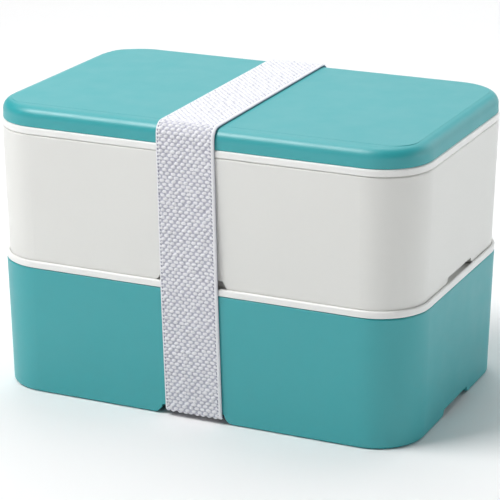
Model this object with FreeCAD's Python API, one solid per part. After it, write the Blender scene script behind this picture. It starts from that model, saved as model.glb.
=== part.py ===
"""Two-tier bento lunch box held shut by an elastic strap. Millimetres, +Z up.

The origin is at the middle of the table footprint. X runs along the long side and -Y is the front.
Every hard piece is a profile carried round one rounded rectangle, so each is drawn once as a list of
(inset, height, fillet) corners. The inset is measured inwards from the widest outline of the box.
"""

import FreeCAD, Part
import math
import os

V = FreeCAD.Vector

# The widest outline, which the rims and the lid flanges share
LENGTH = 180.0
WIDTH = 114.0
CORNER_R = 21.0

# Container: both tiers are the same moulding
TIER_H = 52.8
DRAFT = 1.25
WALL = 2.2
FOOT_H = 4.0
FOOT_W = 2.6
FLOOR_TOP = 6.2
INNER_FLOOR_R = 9.0
FOOT_EDGE_R = 1.2
RIM_R = 0.7

# Notches in the foot ring, for the strap at the front and back and for a finger at the ends
NOTCH_HALF = 13.4
NOTCH_LEAN = 0.3
NOTCH_ROUND = 1.15
END_NOTCH_H = 3.1

# Inner lid: both tiers take the same lid
RIM_GAP = 0.2
FLANGE_H = 2.8
LIP_W = 1.1
RECESS_Z = 1.7
PLATEAU_H = 3.5
PLATEAU_INSET = 4.4
LID_T = 1.9
PLUG_INSET = 2.6
PLUG_DEPTH = 6.0
PLUG_T = 1.8
GROOVE_TOP = -2.0
GROOVE_H = 2.2
GROOVE_DEPTH = 0.9

# Seal: a band with two ribs that stands a little proud of the plug
SEAL_CLEAR = 0.08
SEAL_RIB_INSET = 2.37
SEAL_WAIST_INSET = 2.62

# Cover
REST = 0.05
COVER_TOP = 118.2
COVER_INSET = 0.3
COVER_LEAN = 0.2
COVER_T = 1.8
COVER_EDGE_R = 4.2
SHOULDER_FALL = 0.65
SHOULDER_W = 4.8
PANEL_STEP = 0.06
PANEL_T = 1.2
PANEL_EDGE_R = 0.05
PANEL_FRONT_INSET = 7.5
PANEL_SIDE_INSET = SHOULDER_W
PANEL_R = 10.0
SKIRT_INSET = LIP_W + 0.15

# Strap: a flat elastic loop that stands a little skewed on the box
STRAP_W = 24.5
STRAP_T = 1.2
STRAP_CLEAR = 0.1
STRAP_UNDER_GAP = 1.2
STRAP_TOP_R = 3.9
STRAP_FOOT_R = 0.6
STRAP_FRONT_TOP_X = -1.7
SKEW_PER_Y = -0.0175
SKEW_PER_Z = -0.0212

# The strap's ends overlap under the box and are sewn together
SEAM_LENGTH = 24.0
SEAM_ROW_Y = 8.0
STITCH_LENGTH = 2.0
STITCH_PITCH = 2.8
STITCH_R = 0.25
STITCHES = 8

# Heights of each piece's own datum above the table
LOWER_FLANGE_Z = TIER_H + RIM_GAP
UPPER_FOOT_Z = LOWER_FLANGE_Z + RECESS_Z + REST
UPPER_FLANGE_Z = UPPER_FOOT_Z + TIER_H + RIM_GAP
COVER_Z = UPPER_FLANGE_Z + FLANGE_H + REST
COVER_SKIRT_Z = UPPER_FLANGE_Z + RECESS_Z + REST


def rounded_wire(corners):
    """A closed wire in the XZ plane through (x, z, fillet radius) corners."""
    points = [V(x, 0, z) for x, z, _ in corners]
    starts, ends, middles = [], [], []
    for i, (_, _, radius) in enumerate(corners):
        here = points[i]
        to_last = (points[i - 1] - here).normalize()
        to_next = (points[(i + 1) % len(points)] - here).normalize()
        half = to_last.getAngle(to_next) / 2
        reach = radius / math.tan(half)
        starts.append(here + to_last * reach)
        ends.append(here + to_next * reach)
        inward = (to_last + to_next).normalize()
        middles.append(here + inward * (radius / math.sin(half) - radius))
    edges = []
    for i, (_, _, radius) in enumerate(corners):
        if radius > 0:
            edges.append(Part.Arc(starts[i], middles[i], ends[i]).toShape())
        following = starts[(i + 1) % len(points)]
        if ends[i].distanceToPoint(following) > 1e-6:
            edges.append(Part.makeLine(ends[i], following))
    return Part.Wire(edges)


def carried_round(profile):
    """The solid swept by (inset, z, fillet) corners round the box's outline.

    Corners at inset CORNER_R lie on the axes of the outline's corners. If the profile has two of
    them, the middle of the box is filled between their heights.
    """
    face = Part.Face(rounded_wire([(CORNER_R - inset, z, r) for inset, z, r in profile]))
    half_x = LENGTH / 2 - CORNER_R
    half_y = WIDTH / 2 - CORNER_R
    corner = face.revolve(V(0, 0, 0), V(0, 0, 1), 90)
    pieces = []
    for turn, (sx, sy) in enumerate([(1, 1), (-1, 1), (-1, -1), (1, -1)]):
        quarter = corner.copy()
        quarter.rotate(V(0, 0, 0), V(0, 0, 1), 90 * turn)
        quarter.translate(V(sx * half_x, sy * half_y, 0))
        pieces.append(quarter)
        along_x = turn % 2 == 1
        side = face.extrude(V(0, 2 * (half_x if along_x else half_y), 0))
        side.translate(V(half_y if along_x else half_x, -half_x if along_x else -half_y, 0))
        side.rotate(V(0, 0, 0), V(0, 0, 1), 90 * turn)
        pieces.append(side)
    middle = [z for inset, z, _ in profile if inset == CORNER_R]
    if middle:
        low, high = min(middle), max(middle)
        pieces.append(Part.makeBox(2 * half_x, 2 * half_y, high - low, V(-half_x, -half_y, low)))
    return pieces[0].multiFuse(pieces[1:]).removeSplitter()


def outer_inset(z):
    """How far the container's wall stands in from the outline, at a height above its foot."""
    return DRAFT * (1 - z / TIER_H)


def notch_cutter(height):
    """Cuts the foot ring at the front and back. It widens downwards and rounds the ends of the foot."""
    radius = height * NOTCH_ROUND
    foot = NOTCH_HALF + height * NOTCH_LEAN
    outer = foot + 2 * radius
    outline = [
        (-outer, -1, 0),
        (-outer, 0, 0),
        (-foot, 0, radius),
        (-NOTCH_HALF, height, 0),
        (NOTCH_HALF, height, 0),
        (foot, 0, radius),
        (outer, 0, 0),
        (outer, -1, 0),
    ]
    cutter = Part.Face(rounded_wire(outline)).extrude(V(0, LENGTH + 20, 0))
    cutter.translate(V(0, -LENGTH / 2 - 10, 0))
    return cutter


def container(z):
    inner = WALL + outer_inset(FLOOR_TOP)
    shape = carried_round(
        [
            (CORNER_R, FOOT_H, 0),
            (DRAFT + FOOT_W, FOOT_H, 0.5),
            (DRAFT + FOOT_W, 0, 0.4),
            (DRAFT, 0, FOOT_EDGE_R),
            (0, TIER_H, RIM_R),
            (WALL, TIER_H, 0.4),
            (inner, FLOOR_TOP, INNER_FLOOR_R),
            (CORNER_R, FLOOR_TOP, 0),
        ]
    )
    across = notch_cutter(FOOT_H)
    along = notch_cutter(END_NOTCH_H)
    along.rotate(V(0, 0, 0), V(0, 0, 1), 90)
    shape = shape.cut(across).cut(along).removeSplitter()
    shape.translate(V(0, 0, z))
    return shape


def inner_lid(z):
    plateau_top = RECESS_Z + PLATEAU_H
    under = plateau_top - LID_T
    plug_in = PLUG_INSET + PLUG_T
    groove_in = PLUG_INSET + GROOVE_DEPTH
    shape = carried_round(
        [
            (CORNER_R, under, 0),
            (PLATEAU_INSET + LID_T, under, 0.8),
            (PLATEAU_INSET + LID_T, 0, 0.5),
            (plug_in, 0, 0.5),
            (plug_in, -PLUG_DEPTH, 0.5),
            (PLUG_INSET, -PLUG_DEPTH, 0.8),
            (PLUG_INSET, GROOVE_TOP - GROOVE_H, 0.15),
            (groove_in, GROOVE_TOP - GROOVE_H, 0),
            (groove_in, GROOVE_TOP, 0),
            (PLUG_INSET, GROOVE_TOP, 0.15),
            (PLUG_INSET, 0, 0.2),
            (0, 0, 0.35),
            (0, FLANGE_H, 0.7),
            (LIP_W, FLANGE_H, 0.25),
            (LIP_W, RECESS_Z, 0.25),
            (PLATEAU_INSET, RECESS_Z, 0.4),
            (PLATEAU_INSET + 0.4, plateau_top, 1.0),
            (CORNER_R, plateau_top, 0),
        ]
    )
    shape.translate(V(0, 0, z))
    return shape


def lid_seal(z):
    back = PLUG_INSET + GROOVE_DEPTH - SEAL_CLEAR
    low = GROOVE_TOP - GROOVE_H + SEAL_CLEAR
    high = GROOVE_TOP - SEAL_CLEAR
    middle = (low + high) / 2
    shape = carried_round(
        [
            (back, low, 0),
            (SEAL_WAIST_INSET, low, 0),
            (SEAL_RIB_INSET, low + 0.45, 0.2),
            (SEAL_WAIST_INSET, middle, 0.2),
            (SEAL_RIB_INSET, high - 0.45, 0.2),
            (SEAL_WAIST_INSET, high, 0),
            (back, high, 0),
        ]
    )
    shape.translate(V(0, 0, z))
    return shape


def top_cover():
    """A shallow cap. Its shoulder slopes up to a flat panel that stands a little proud."""
    shoulder = COVER_TOP - PANEL_STEP
    ceiling = COVER_TOP - COVER_T
    skirt_in = SKIRT_INSET + COVER_T
    cap = carried_round(
        [
            (CORNER_R, ceiling, 0),
            (skirt_in, ceiling, 1.5),
            (skirt_in, COVER_SKIRT_Z, 0.3),
            (SKIRT_INSET, COVER_SKIRT_Z, 0.3),
            (SKIRT_INSET, COVER_Z, 0),
            (COVER_INSET, COVER_Z, 0.35),
            (COVER_INSET + COVER_LEAN, shoulder - SHOULDER_FALL, COVER_EDGE_R),
            (SHOULDER_W, shoulder, 2.0),
            (CORNER_R, shoulder, 0),
        ]
    )
    half_x = LENGTH / 2 - PANEL_SIDE_INSET
    half_y = WIDTH / 2 - PANEL_FRONT_INSET
    outline = [(half_x, half_y), (-half_x, half_y), (-half_x, -half_y), (half_x, -half_y)]
    panel = Part.Face(rounded_wire([(x, y, PANEL_R) for x, y in outline])).extrude(V(0, PANEL_T, 0))
    panel.rotate(V(0, 0, 0), V(1, 0, 0), 90)
    panel.translate(V(0, 0, COVER_TOP - PANEL_T - panel.BoundBox.ZMin))
    top_edges = [edge for edge in panel.Edges if edge.BoundBox.ZMin > COVER_TOP - 0.01]
    panel = panel.makeFillet(PANEL_EDGE_R, top_edges)
    return cap.fuse(panel).removeSplitter()


def strap_outline(grow):
    """The loop's section in the YZ plane, drawn in X and Z, `grow` outside its inner face."""
    flange_y = WIDTH / 2 + STRAP_CLEAR + grow
    cover_y = flange_y - COVER_INSET - COVER_LEAN
    foot_y = flange_y - outer_inset(FOOT_H)
    top = COVER_TOP + STRAP_CLEAR + grow
    bottom = FOOT_H - STRAP_UNDER_GAP - grow
    right = [
        (foot_y, bottom, STRAP_FOOT_R + grow),
        (flange_y, LOWER_FLANGE_Z, 5.0),
        (flange_y, UPPER_FLANGE_Z + FLANGE_H, 5.0),
        (cover_y, top, STRAP_TOP_R + grow),
    ]
    left = [(-y, z, r) for y, z, r in reversed(right)]
    return rounded_wire(right + left)


def skewed(shape):
    """Moves the strap sideways in proportion to Y and Z, as it was pulled on a little askew."""
    shift = STRAP_FRONT_TOP_X + SKEW_PER_Y * WIDTH / 2 - SKEW_PER_Z * COVER_TOP
    matrix = FreeCAD.Matrix(1, SKEW_PER_Y, SKEW_PER_Z, shift, 0, 1, 0, 0, 0, 0, 1, 0, 0, 0, 0, 1)
    return shape.transformGeometry(matrix)


def seam_bottom():
    """The lower face of the strap's overlap."""
    return FOOT_H - STRAP_UNDER_GAP - 2 * STRAP_T


def elastic_strap():
    outside = Part.Face(strap_outline(STRAP_T)).extrude(V(0, STRAP_W, 0))
    inside = Part.Face(strap_outline(0)).extrude(V(0, STRAP_W, 0))
    loop = outside.cut(inside)
    loop.translate(V(0, -STRAP_W / 2, 0))
    loop.rotate(V(0, 0, 0), V(0, 0, 1), 90)
    overlap = Part.makeBox(
        STRAP_W, SEAM_LENGTH, STRAP_T * 1.5, V(-STRAP_W / 2, -SEAM_LENGTH / 2, seam_bottom())
    )
    return skewed(loop.fuse(overlap).removeSplitter())


def seam_thread():
    """Two rows of stitches under the overlap. Each stitch is a half-round bar."""
    stitches = []
    for row_y in (-SEAM_ROW_Y, SEAM_ROW_Y):
        for i in range(STITCHES):
            x = (i - (STITCHES - 1) / 2) * STITCH_PITCH - STITCH_LENGTH / 2
            start = V(x, row_y, seam_bottom() - 0.01)
            bar = Part.makeCylinder(STITCH_R, STITCH_LENGTH, start, V(1, 0, 0))
            above = Part.makeBox(STITCH_LENGTH, 1, 1, start + V(0, -0.5, 0))
            stitches.append(skewed(bar.cut(above)))
    return Part.makeCompound(stitches)


os.makedirs("parts", exist_ok=True)

NODES = {
    "lower_container": container(0),
    "lower_inner_lid": inner_lid(LOWER_FLANGE_Z),
    "lower_lid_seal": lid_seal(LOWER_FLANGE_Z),
    "upper_container": container(UPPER_FOOT_Z),
    "upper_inner_lid": inner_lid(UPPER_FLANGE_Z),
    "upper_lid_seal": lid_seal(UPPER_FLANGE_Z),
    "top_cover": top_cover(),
    "elastic_strap": elastic_strap(),
    "strap_seam_thread": seam_thread(),
}

for name, shape in NODES.items():
    shape.exportStep("parts/" + name + ".step")
    box = shape.BoundBox
    print(
        f"{name}: {len(shape.Solids)} solid(s), valid {shape.isValid()}, "
        f"X {box.XMin:.2f}..{box.XMax:.2f} Y {box.YMin:.2f}..{box.YMax:.2f} Z {box.ZMin:.2f}..{box.ZMax:.2f}, "
        f"{shape.Volume / 1000:.2f} cm3"
    )
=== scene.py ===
"""Looks of the bento lunch box: satin plastics, silicone seals and a woven elastic strap. Metres, +Z up."""

import math

import bpy
import numpy as np
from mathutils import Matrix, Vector


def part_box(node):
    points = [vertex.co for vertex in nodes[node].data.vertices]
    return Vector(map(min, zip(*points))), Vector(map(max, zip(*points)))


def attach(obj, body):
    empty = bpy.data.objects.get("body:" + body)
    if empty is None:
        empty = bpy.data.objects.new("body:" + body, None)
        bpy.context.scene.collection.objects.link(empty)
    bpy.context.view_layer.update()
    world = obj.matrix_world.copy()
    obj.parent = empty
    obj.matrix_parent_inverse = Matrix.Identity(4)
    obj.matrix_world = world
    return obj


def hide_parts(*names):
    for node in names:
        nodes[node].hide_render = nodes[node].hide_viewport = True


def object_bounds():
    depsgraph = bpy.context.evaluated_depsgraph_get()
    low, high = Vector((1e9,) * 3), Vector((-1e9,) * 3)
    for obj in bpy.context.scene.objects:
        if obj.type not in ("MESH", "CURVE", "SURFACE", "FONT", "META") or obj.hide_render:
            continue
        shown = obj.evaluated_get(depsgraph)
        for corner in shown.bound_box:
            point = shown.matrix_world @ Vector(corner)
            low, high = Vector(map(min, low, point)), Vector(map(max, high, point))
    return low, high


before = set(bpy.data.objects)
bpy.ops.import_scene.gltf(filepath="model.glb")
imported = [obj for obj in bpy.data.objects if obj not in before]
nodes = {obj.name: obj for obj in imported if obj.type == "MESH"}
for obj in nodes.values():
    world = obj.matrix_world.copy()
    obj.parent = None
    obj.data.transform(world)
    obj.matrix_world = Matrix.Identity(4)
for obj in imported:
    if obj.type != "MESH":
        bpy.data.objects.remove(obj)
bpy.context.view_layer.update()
MM = 0.001

# ---------------------------------------------------------------- materials


class Nodes:
    """A new material's node tree, with short calls to add nodes and join them up."""

    def __init__(self, name):
        self.material = bpy.data.materials.new(name)
        self.material.use_nodes = True
        self.tree = self.material.node_tree
        self.shader = self.tree.nodes["Principled BSDF"]

    def add(self, kind, **settings):
        node = self.tree.nodes.new(kind)
        for key, value in settings.items():
            setattr(node, key, value)
        return node

    def join(self, output, socket):
        self.tree.links.new(output, socket)

    def feed(self, name, output):
        """Joins an output to the shader's input of that name."""
        self.join(output, self.shader.inputs[name])

    def set(self, **values):
        """Gives the shader's inputs fixed values."""
        for name, value in values.items():
            self.shader.inputs[name.replace("_", " ")].default_value = value

    def noise(self, source, scale, detail=2.0, stretch=(1, 1, 1)):
        """Noise with features about 1 / scale metres across."""
        mapping = self.add("ShaderNodeMapping")
        mapping.inputs["Scale"].default_value = stretch
        self.join(source, mapping.inputs["Vector"])
        noise = self.add("ShaderNodeTexNoise")
        noise.inputs["Scale"].default_value = scale
        noise.inputs["Detail"].default_value = detail
        self.join(mapping.outputs["Vector"], noise.inputs["Vector"])
        return noise.outputs["Fac"]

    def ramp(self, factor, stops):
        """A colour ramp through (position, colour) stops."""
        ramp = self.add("ShaderNodeValToRGB")
        elements = ramp.color_ramp.elements
        while len(elements) < len(stops):
            elements.new(0.5)
        for element, (position, colour) in zip(elements, stops):
            element.position = position
            element.color = (*colour, 1)
        self.join(factor, ramp.inputs["Fac"])
        return ramp.outputs["Color"]

    def spread(self, factor, low, high):
        """Maps noise, which mostly lies from 0.3 to 0.7, to low..high."""
        node = self.add("ShaderNodeMapRange")
        node.inputs["From Min"].default_value = 0.3
        node.inputs["From Max"].default_value = 0.7
        node.inputs["To Min"].default_value = low
        node.inputs["To Max"].default_value = high
        self.join(factor, node.inputs["Value"])
        return node.outputs["Result"]

    def bump(self, height, depth, below=None):
        """Bump of that depth in metres, on top of another bump if one is given."""
        node = self.add("ShaderNodeBump")
        node.inputs["Distance"].default_value = depth
        self.join(height, node.inputs["Height"])
        if below:
            self.join(below, node.inputs["Normal"])
        return node.outputs["Normal"]


def shade(colour, factor):
    """The colour made that much lighter or darker."""
    return tuple(min(1.0, channel * factor) for channel in colour)


def moulded_plastic(name, colour, rough):
    """Satin moulded polypropylene: faint flow mottling, a fine spark-eroded grain and uneven gloss."""
    look = Nodes(name)
    where = look.add("ShaderNodeTexCoord").outputs["Object"]
    mottle = look.ramp(look.noise(where, 22, 3), [(0.3, shade(colour, 0.99)), (0.7, shade(colour, 1.01))])
    look.feed("Base Color", mottle)
    look.feed("Roughness", look.spread(look.noise(where, 90, 4), rough - 0.03, rough + 0.04))
    grain = look.bump(look.noise(where, 3200, 1), 0.008 * MM)
    waviness = look.bump(look.noise(where, 40, 1), 0.015 * MM, grain)
    look.feed("Normal", waviness)
    look.set(IOR=1.49, Specular_IOR_Level=0.8)
    return look.material


def silicone():
    """Soft translucent silicone with a dusting of fine roughness."""
    look = Nodes("silicone")
    where = look.add("ShaderNodeTexCoord").outputs["Object"]
    cloud = look.ramp(look.noise(where, 60, 3), [(0.3, (0.70, 0.74, 0.73)), (0.7, (0.80, 0.83, 0.82))])
    look.feed("Base Color", cloud)
    look.feed("Roughness", look.spread(look.noise(where, 400, 3), 0.38, 0.55))
    look.feed("Normal", look.bump(look.noise(where, 2500, 2), 0.01 * MM))
    look.set(IOR=1.41, Subsurface_Weight=0.4, Subsurface_Scale=2 * MM, Subsurface_Radius=(1.0, 1.0, 1.0))
    return look.material


def woven_elastic():
    """White elastic webbing. Its mesh says how light each point of the weave is, and that lightness is
    painted shade: darker down in the gaps between the floats, in the stitch holes and along the inner face's
    edges.
    """
    look = Nodes("woven_elastic")
    light = look.add("ShaderNodeAttribute", attribute_name="weave").outputs["Fac"]
    where = look.add("ShaderNodeUVMap", uv_map="strap").outputs["UV"]
    # Painted shade tones: the darkest for the stitch holes, dark grey for the inner face's edges, grey for
    # the gaps between floats, white on the floats' crowns.
    shade_tones = [(0.0, (0.20, 0.21, 0.28)), (0.4, (0.56, 0.56, 0.65)), (0.68, (0.93, 0.93, 0.96))]
    uneven = look.ramp(look.noise(where, 500, 3), [(0.3, (0.94, 0.94, 0.95)), (0.7, (1, 1, 1))])
    yarn_and_shade = look.add("ShaderNodeMix", data_type="RGBA", blend_type="MULTIPLY")
    yarn_and_shade.inputs["Factor"].default_value = 1.0
    look.join(look.ramp(light, shade_tones), yarn_and_shade.inputs["A"])
    look.join(uneven, yarn_and_shade.inputs["B"])
    look.feed("Base Color", yarn_and_shade.outputs["Result"])
    look.feed("Roughness", look.spread(look.noise(where, 900, 2), 0.72, 0.9))
    fibres = look.noise(where, 2600, 2, stretch=(0.35, 2.2, 1))
    look.feed("Normal", look.bump(fibres, 0.05 * MM))
    look.set(Specular_IOR_Level=0.2)
    return look.material


def sewing_thread():
    """Twisted polyester thread: fine slanting plies along each stitch."""
    look = Nodes("sewing_thread")
    where = look.add("ShaderNodeTexCoord").outputs["Object"]
    plies = look.add("ShaderNodeTexWave", bands_direction="DIAGONAL")
    plies.inputs["Scale"].default_value = 900
    plies.inputs["Distortion"].default_value = 0.6
    look.join(where, plies.inputs["Vector"])
    lines = plies.outputs["Fac"]
    # Painted shade: the thread is darker in the grooves between its plies, where the bump sinks, and lighter
    # on their crowns.
    look.feed("Base Color", look.ramp(lines, [(0.1, (0.66, 0.66, 0.70)), (0.7, (0.90, 0.90, 0.92))]))
    look.feed("Roughness", look.spread(look.noise(where, 1500, 2), 0.5, 0.65))
    look.feed("Normal", look.bump(lines, 0.05 * MM))
    look.set(Sheen_Weight=0.2)
    return look.material


TEAL = (0.03, 0.39, 0.42)
WHITE = (0.83, 0.83, 0.80)
# The lids' white is lighter than the bodies': partly the lids' own whiter plastic, partly a painted
# highlight for the lit, rounded band of their flanges.
LID_WHITE_AND_HIGHLIGHT = (0.94, 0.94, 0.92)

teal = moulded_plastic("teal_plastic", TEAL, 0.42)
white = moulded_plastic("white_plastic", WHITE, 0.42)
lid_white_and_highlight = moulded_plastic("lid_plastic_and_highlight", LID_WHITE_AND_HIGHLIGHT, 0.38)
seal = silicone()

FINISHES = {
    "lower_container": teal,
    "top_cover": teal,
    "upper_container": white,
    "lower_inner_lid": lid_white_and_highlight,
    "upper_inner_lid": lid_white_and_highlight,
    "lower_lid_seal": seal,
    "upper_lid_seal": seal,
}
for name, material in FINISHES.items():
    nodes[name].data.materials.clear()
    nodes[name].data.materials.append(material)

# ---------------------------------------------------------------- the strap's sizes

STRAP_T = 1.2 * MM
STRAP_W = 24.5 * MM

# The bends and insets of its route round the box, and how far it stands askew
TOP_BEND = 3.9 * MM
SIDE_BEND = 5 * MM
FOOT_BEND = 0.6 * MM
COVER_INSET = 0.5 * MM
FOOT_INSET = 1.15 * MM
SHOULDER_RISE = 1.1 * MM
SKEW_PER_Y = -0.0175
SKEW_PER_Z = -0.0212
FRONT_TOP_X = -1.7 * MM
BEND_STEPS = 24

# The weave: rows of oval floats, and a line of stitch holes beside each selvedge
ROW = 1.45 * MM
PITCH = 2.55 * MM
FLOAT_HALF_W = 1.02 * MM
FLOAT_HALF_H = 0.71 * MM
FLOAT_SLANT = -0.15
FLOAT_VARIANTS = 16
SIZE_JITTER = 0.1
DRIFT_JITTER = 0.06
SLANT_JITTER = 0.1
RELIEF = 0.55 * MM
HOLES_LEFT = -11.3 * MM
HOLES_RIGHT = 10.6 * MM
HOLE_HALF_W = 0.2 * MM
HOLE_SHARE_OF_ROW = 0.5
SELVEDGE_HEIGHT = 0.6
SELVEDGE_RIPPLE = 0.1
# Lightness of the gaps between the floats: painted shade where the weave sinks.
GAP_SHADE_LIGHT = 0.4

# The ribbon's section, measured outward from the middle of its thickness
STEPS_PER_ROW = 4
COLUMNS = 66
EDGE_INSET = 0.15 * MM
EDGE_ROUND = 0.6 * MM
EDGE_RISE = -0.15 * MM
EDGE_SWELL = 0.2 * MM

# The plain inner face from edge to edge: share of the width, outward rise in mm, lightness. The dark
# lightness 0.15 at both edges is painted shade, the dark gap and shadow beside the strap.
INNER_FACE = [
    (0.5, -0.25, 0.15),
    (0.494, -0.52, 0.15),
    (0.46, -0.6, 0.7),
    (0.0, -0.6, 0.7),
    (-0.46, -0.6, 0.7),
    (-0.494, -0.52, 0.15),
    (-0.5, -0.25, 0.15),
]

# ---------------------------------------------------------------- the strap's route

strap_low, strap_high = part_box("elastic_strap")
cover_low, cover_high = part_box("top_cover")
flange_y = strap_high.y - STRAP_T
top_z = strap_high.z - STRAP_T
foot_z = strap_low.z + 2 * STRAP_T
foot_y = flange_y - FOOT_INSET
cover_y = flange_y - COVER_INSET
middle_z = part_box("lower_container")[1].z
shoulder_z = cover_low.z + SHOULDER_RISE


def centre_x(y, z):
    """Where the middle of the slightly askew strap stands."""
    return FRONT_TOP_X + SKEW_PER_Y * (y + cover_high.y) + SKEW_PER_Z * (z - cover_high.z)


def strap_corners(grow):
    """The loop's (y, z, bend radius) corners, anticlockwise seen from +X, `grow` outside its inner face."""
    right = [
        (foot_y + grow, foot_z - grow, FOOT_BEND + grow),
        (flange_y + grow, middle_z, SIDE_BEND),
        (flange_y + grow, shoulder_z, SIDE_BEND),
        (cover_y + grow, top_z + grow, TOP_BEND + grow),
    ]
    return right + [(-y, z, radius) for y, z, radius in reversed(right)]


def turned(vector, angle):
    """A flat vector turned anticlockwise."""
    return Vector(
        (
            vector.x * math.cos(angle) - vector.y * math.sin(angle),
            vector.x * math.sin(angle) + vector.y * math.cos(angle),
        )
    )


def rounded_route(corners):
    """Points and outward normals along a closed loop of corners, its length and its rows of weave.

    The points are evenly spaced, a few to each of an even number of rows.
    """
    points = [Vector((y, z)) for y, z, _ in corners]
    outline = []
    for i, (_, _, radius) in enumerate(corners):
        here = points[i]
        back = (points[i - 1] - here).normalized()
        ahead = (points[(i + 1) % len(points)] - here).normalized()
        half = back.angle(ahead) / 2
        middle = here + (back + ahead).normalized() * radius / math.sin(half)
        first = here + back * radius / math.tan(half) - middle
        sweep = math.pi - 2 * half
        outline += [middle + turned(first, sweep * k / BEND_STEPS) for k in range(BEND_STEPS + 1)]
    loop = np.array(outline + outline[:1])
    run = np.concatenate([[0], np.cumsum(np.linalg.norm(np.diff(loop, axis=0), axis=1))])
    rows = 2 * round(run[-1] / ROW / 2)
    at = np.linspace(0, run[-1], rows * STEPS_PER_ROW, endpoint=False)
    route = np.stack([np.interp(at, run, loop[:, 0]), np.interp(at, run, loop[:, 1])], axis=1)
    along = np.roll(route, -1, axis=0) - np.roll(route, 1, axis=0)
    along /= np.linalg.norm(along, axis=1)[:, None]
    return route, np.stack([along[:, 1], -along[:, 0]], axis=1), run[-1], rows


# ---------------------------------------------------------------- the strap's mesh


def weave(s, t, rows):
    """Height and lightness of the weave, both from 0 to 1, s along the strap and t across it.

    Rows of oval floats, each row half a pitch off the last, between plain selvedges that
    have a line of stitch holes. The lightness is painted shade: it follows the height, so it is darker down
    in the gaps between the floats.
    """
    rng = np.random.default_rng(7)
    size = 1 + SIZE_JITTER * rng.standard_normal((rows, FLOAT_VARIANTS))
    drift = DRIFT_JITTER * rng.standard_normal((rows, FLOAT_VARIANTS))
    slant = SLANT_JITTER * rng.standard_normal((rows, FLOAT_VARIANTS)) + FLOAT_SLANT
    row = np.floor(s / ROW).astype(int) % rows
    phase = (s / ROW) % 1
    across = t / PITCH - 0.5 * (row % 2)
    column = np.round(across).astype(int)
    which = (row, column % FLOAT_VARIANTS)
    side = (across - column + drift[which]) * PITCH
    up = (phase - 0.5) * ROW - slant[which] * side
    far = (side / FLOAT_HALF_W) ** 2 + (up / FLOAT_HALF_H) ** 2
    height = np.sqrt(np.clip(1 - far / size[which], 0, 1))
    selvedge = (t < HOLES_LEFT + HOLE_HALF_W) | (t > HOLES_RIGHT - HOLE_HALF_W)
    height = np.where(selvedge, SELVEDGE_HEIGHT + SELVEDGE_RIPPLE * np.cos(4 * np.pi * phase), height)
    # Painted shade: lighter where the weave stands high, darker down in the gaps.
    light = GAP_SHADE_LIGHT + (1 - GAP_SHADE_LIGHT) * height
    off_line = np.minimum(np.abs(t - HOLES_LEFT), np.abs(t - HOLES_RIGHT))
    # The stitch holes are painted dark as the shade inside them.
    hole = (off_line < HOLE_HALF_W) & (phase < HOLE_SHARE_OF_ROW)
    height[hole] = 0
    light[hole] = 0
    return height, light


def tube_faces(stations, count, closed):
    """Faces of a tube of stations with `count` points each: a closed loop, or capped at both ends."""
    i = np.arange(stations if closed else stations - 1)[:, None]
    j = np.arange(count)[None, :]
    after_i = (i + 1) % stations
    after_j = (j + 1) % count
    corners = [i * count + j, i * count + after_j, after_i * count + after_j, after_i * count + j]
    faces = np.stack(corners, axis=2).reshape(-1, 4).tolist()
    if not closed:
        faces += [list(range(count))[::-1], list(range((stations - 1) * count, stations * count))]
    return faces


def ribbon_mesh(name, route, normals, closed, rows):
    """A woven ribbon along a route in Y and Z: woven outside, plain inside, rounded at its edges."""
    stations = len(route)
    s = np.arange(stations) * ROW / STEPS_PER_ROW
    t = np.linspace(-0.5, 0.5, COLUMNS + 1) * (STRAP_W - 2 * EDGE_INSET)
    grid_s, grid_t = np.meshgrid(s, t, indexing="ij")
    height, light = weave(grid_s, grid_t, rows)
    edge_fall = np.clip((STRAP_W / 2 - np.abs(t)) / EDGE_ROUND, 0, 1) ** 0.5
    outer = (EDGE_RISE + EDGE_SWELL * edge_fall)[None, :] + RELIEF * height * edge_fall[None, :]
    inner_share, inner_mm, inner_light_and_edge_shade = np.array(INNER_FACE).T
    all_t = np.concatenate([t, inner_share * STRAP_W])
    rise = np.concatenate([outer, np.tile(inner_mm * MM, (stations, 1))], axis=1)
    level = np.concatenate([light, np.tile(inner_light_and_edge_shade, (stations, 1))], axis=1)
    x = centre_x(route[:, :1], route[:, 1:]) + all_t[None, :]
    y = route[:, :1] + normals[:, :1] * rise
    z = route[:, 1:] + normals[:, 1:] * rise
    vertices = np.stack([x, y, z], axis=2).reshape(-1, 3)
    count = len(all_t)
    mesh = bpy.data.meshes.new(name)
    mesh.from_pydata(vertices.tolist(), [], tube_faces(stations, count, closed))
    mesh.update()
    # The weave attribute carries painted shade: the weave's gaps, its stitch holes and the inner face's dark
    # edges.
    lightness = mesh.attributes.new("weave", "FLOAT", "POINT")
    lightness.data.foreach_set("value", level.ravel())
    corner = np.empty(len(mesh.loops), int)
    mesh.loops.foreach_get("vertex_index", corner)
    flat = np.stack([np.tile(all_t, stations), np.repeat(s, count)], axis=1)
    layer = mesh.uv_layers.new(name="strap")
    layer.data.foreach_set("uv", flat[corner].ravel())
    mesh.shade_smooth()
    return mesh


def link(name, mesh, material, body):
    """Puts a piece in the scene with its material, and has it ride on a body."""
    piece = bpy.data.objects.new(name, mesh)
    bpy.context.scene.collection.objects.link(piece)
    mesh.materials.append(material)
    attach(piece, body)
    return piece


route, normals, length, row_count = rounded_route(strap_corners(STRAP_T / 2))
elastic = woven_elastic()
webbing = ribbon_mesh("strap_webbing", route, normals, True, row_count)
strap = link("strap_webbing", webbing, elastic, "strap")
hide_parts("elastic_strap")

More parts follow.
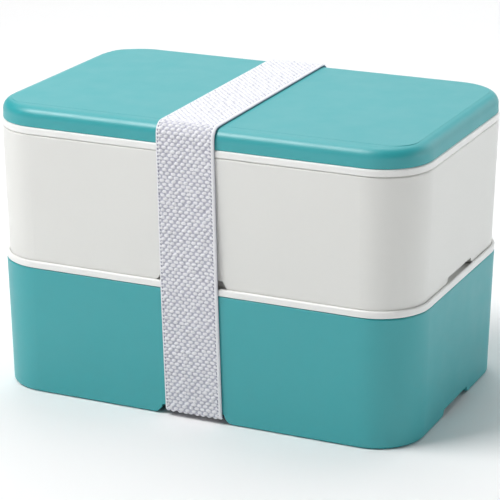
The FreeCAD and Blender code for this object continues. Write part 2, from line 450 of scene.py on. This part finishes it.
# The sewn overlap: a short second layer on the outside of the first, under the box
OVERLAP = 24 * MM
overlap_rows = round(OVERLAP / ROW)
overlap_steps = overlap_rows * STEPS_PER_ROW
overlap_y = (np.arange(overlap_steps + 1) / overlap_steps - 0.5) * OVERLAP
overlap_z = np.full_like(overlap_y, strap_low.z + STRAP_T / 2)
overlap_route = np.stack([overlap_y, overlap_z], axis=1)
down = np.tile([0.0, -1.0], (len(overlap_route), 1))
overlap = ribbon_mesh("strap_overlap", overlap_route, down, False, overlap_rows)
patch = link("strap_overlap", overlap, elastic, "strap")

# The seam: two rows of twisted stitches whose ends go down into the webbing
SEAM_ROW_Y = 8 * MM
STITCH_LENGTH = 2.3 * MM
STITCH_PITCH = 2.8 * MM
STITCH_SINK = 0.55 * MM
STITCH_SLANT = 0.12
STITCHES = 8
STITCH_STATIONS = 17
THREAD_R = 0.25 * MM
THREAD_WAIST = 0.22
THREAD_SIDES = 12


def seam_stitches():
    """Every stitch is a bar of two plies, twisted once and a half, each a little out of line."""
    rng = np.random.default_rng(3)
    vertices = []
    faces = []
    for row_y in (-SEAM_ROW_Y, SEAM_ROW_Y):
        for i in range(STITCHES):
            middle = centre_x(row_y, strap_low.z) + (i - (STITCHES - 1) / 2) * STITCH_PITCH
            slant = rng.uniform(-STITCH_SLANT, STITCH_SLANT)
            bar = tube_faces(STITCH_STATIONS, THREAD_SIDES, False)
            faces += [[len(vertices) + corner for corner in face] for face in bar]
            for k in range(STITCH_STATIONS):
                u = k / (STITCH_STATIONS - 1) - 0.5
                sink = STITCH_SINK * abs(2 * u) ** 3
                for side in range(THREAD_SIDES):
                    turn = 2 * math.pi * side / THREAD_SIDES
                    plies = math.cos(2 * (turn - 3 * math.pi * u))
                    r = THREAD_R * (1 - THREAD_WAIST + THREAD_WAIST * plies)
                    y = row_y + slant * u * STITCH_LENGTH + r * math.cos(turn)
                    vertices.append((middle + u * STITCH_LENGTH, y, strap_low.z + sink + r * math.sin(turn)))
    mesh = bpy.data.meshes.new("strap_stitches")
    mesh.from_pydata(vertices, [], faces)
    mesh.shade_smooth()
    return mesh


stitches = link("strap_stitches", seam_stitches(), sewing_thread(), "strap")
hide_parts("strap_seam_thread")

# ---------------------------------------------------------------- floor, light and camera

low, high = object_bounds()
centre = (low + high) / 2

FLOOR_SOLID = 0.5
FLOOR_END = 1.1
FLOOR_REACH = 1.05 * FLOOR_END
FLOOR_DROP = 0.1 * MM
FLOOR_SIDES = 64


def studio_floor():
    """A pale disc that fades away into the white below the horizon."""
    mesh = bpy.data.meshes.new("studio_floor")
    turns = [2 * math.pi * k / FLOOR_SIDES for k in range(FLOOR_SIDES)]
    around = [(FLOOR_REACH * math.cos(turn), FLOOR_REACH * math.sin(turn), 0) for turn in turns]
    mesh.from_pydata(around, [], [list(range(FLOOR_SIDES))])
    floor = bpy.data.objects.new("studio_floor", mesh)
    bpy.context.scene.collection.objects.link(floor)
    floor.location.z = -FLOOR_DROP
    look = Nodes("pale_floor")
    look.set(Base_Color=(0.96, 0.96, 0.96, 1), Roughness=0.9, Specular_IOR_Level=0.1)
    distance = look.add("ShaderNodeVectorMath", operation="LENGTH")
    look.join(look.add("ShaderNodeTexCoord").outputs["Object"], distance.inputs["Vector"])
    fade = look.add("ShaderNodeMapRange", interpolation_type="SMOOTHSTEP")
    fade.inputs["From Min"].default_value = FLOOR_SOLID
    fade.inputs["From Max"].default_value = FLOOR_END
    fade.inputs["To Min"].default_value = 1
    fade.inputs["To Max"].default_value = 0
    look.join(distance.outputs["Value"], fade.inputs["Value"])
    look.feed("Alpha", fade.outputs["Result"])
    mesh.materials.append(look.material)


def stand(thing, azimuth, elevation, distance, target):
    """Stands a light or a camera that far from its target and turns it to face it.

    Azimuth 0 is in front of the box, 90 on its right.
    """
    bpy.context.scene.collection.objects.link(thing)
    a = math.radians(azimuth)
    e = math.radians(elevation)
    away = Vector((math.sin(a) * math.cos(e), -math.cos(a) * math.cos(e), math.sin(e)))
    thing.location = target + away * distance
    thing.rotation_euler = away.to_track_quat("Z", "Y").to_euler()


def softbox(name, azimuth, elevation, distance, size, power, colour=(1, 1, 1)):
    """A square area light that faces the middle of the box."""
    lamp = bpy.data.lights.new(name, "AREA")
    lamp.shape = "SQUARE"
    lamp.size = size
    lamp.energy = power
    lamp.color = colour
    stand(bpy.data.objects.new(name, lamp), azimuth, elevation, distance, centre)


HORIZON_GREYS = [(0.05, 1.0), (0.14, 0.0)]


def studio_world():
    """White up to just above the horizon and dark overhead."""
    world = bpy.data.worlds.new("studio")
    world.use_nodes = True
    tree = world.node_tree
    where = tree.nodes.new("ShaderNodeTexCoord")
    split = tree.nodes.new("ShaderNodeSeparateXYZ")
    ramp = tree.nodes.new("ShaderNodeValToRGB")
    elements = ramp.color_ramp.elements
    for element, (height, grey) in zip(elements, HORIZON_GREYS):
        element.position = height
        element.color = (grey, grey, grey, 1)
    tree.links.new(where.outputs["Generated"], split.inputs["Vector"])
    tree.links.new(split.outputs["Z"], ramp.inputs["Fac"])
    tree.links.new(ramp.outputs["Color"], tree.nodes["Background"].inputs["Color"])
    bpy.context.scene.world = world


COOL_WHITE = (0.94, 0.98, 1.0)

studio_floor()
softbox("key", -51, 59, 1.3, 0.55, 13.5)
softbox("over_left", -136, 56, 1.4, 1.0, 2.4)
softbox("over_back", 190, 65, 1.4, 1.0, 5.8)
softbox("front", -4, 30, 1.5, 0.8, 1.5)
softbox("fill_right", 112, 14, 1.5, 1.0, 3.9, COOL_WHITE)
softbox("fill_right_back", 152, 25, 1.5, 1.0, 4.8, COOL_WHITE)
softbox("rear", 204, 20, 1.5, 1.2, 3.8)
studio_world()
bpy.context.scene.view_settings.view_transform = "Standard"

AZIMUTH = 24.48
ELEVATION = 18.34
DISTANCE = 0.895
LENS = 159.1
AIM = centre + Vector((0, -1.9 * MM, -6.4 * MM))

camera = bpy.data.objects.new("camera", bpy.data.cameras.new("camera"))
stand(camera, AZIMUTH, ELEVATION, DISTANCE, AIM)
camera.data.lens = LENS
camera.data.sensor_width = 36
bpy.context.scene.camera = camera
